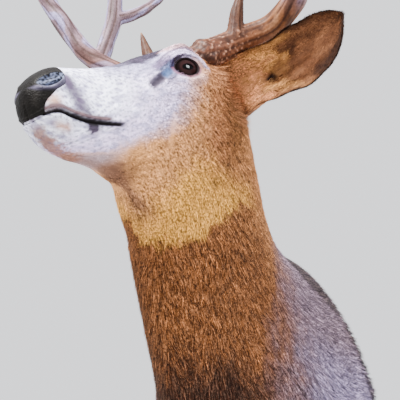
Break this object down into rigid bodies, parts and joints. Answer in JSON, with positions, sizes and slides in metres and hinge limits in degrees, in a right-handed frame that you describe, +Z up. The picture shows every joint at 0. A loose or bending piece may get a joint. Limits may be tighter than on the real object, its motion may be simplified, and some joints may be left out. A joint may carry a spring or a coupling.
{
  "type": "mule deer shoulder mount",
  "caption": "Taxidermy shoulder mount of a mule deer buck, head turned to its right, with forked antlers, on a plywood back board that hangs flat on a wall.",
  "frame": {"origin": "middle of the back face of the board, where the board meets the wall", "axes": "+Z up, +Y into the wall, -Y out of the wall, +X towards the animal's left side"},
  "size_m": [0.5301, 0.6685, 1.0332],
  "materials": {
    "coat_brown": "hide with brown, dark-tipped hair lying back and down",
    "coat_grey": "hide with cool grey salt-and-pepper hair",
    "coat_pale": "hide with short whitish hair, tan behind the cheek",
    "coat_ear": "thin hide, tan outside, dark brown edge",
    "nose_leather": "bare black-brown nose pad, pebbled, half gloss",
    "eye_glass": "polished dark brown glass eye",
    "antler_bone": "hard antler bone, grey-brown, ridged, rough near the burr",
    "board_wood": "bare softwood plywood, sanded"
  },
  "bodies": {
    "root": {"trunk": "coat_grey", "neck": "coat_brown", "head": "coat_pale", "nose": "nose_leather", "ear_left": "coat_ear", "ear_right": "coat_ear", "eye_left": "eye_glass", "eye_right": "eye_glass", "antler_beam_left": "antler_bone", "antler_beam_right": "antler_bone", "antler_front_fork_left": "antler_bone", "antler_front_fork_right": "antler_bone", "antler_rear_fork_left": "antler_bone", "antler_rear_fork_right": "antler_bone", "back_board": "board_wood"}
  },
  "joints": []
}
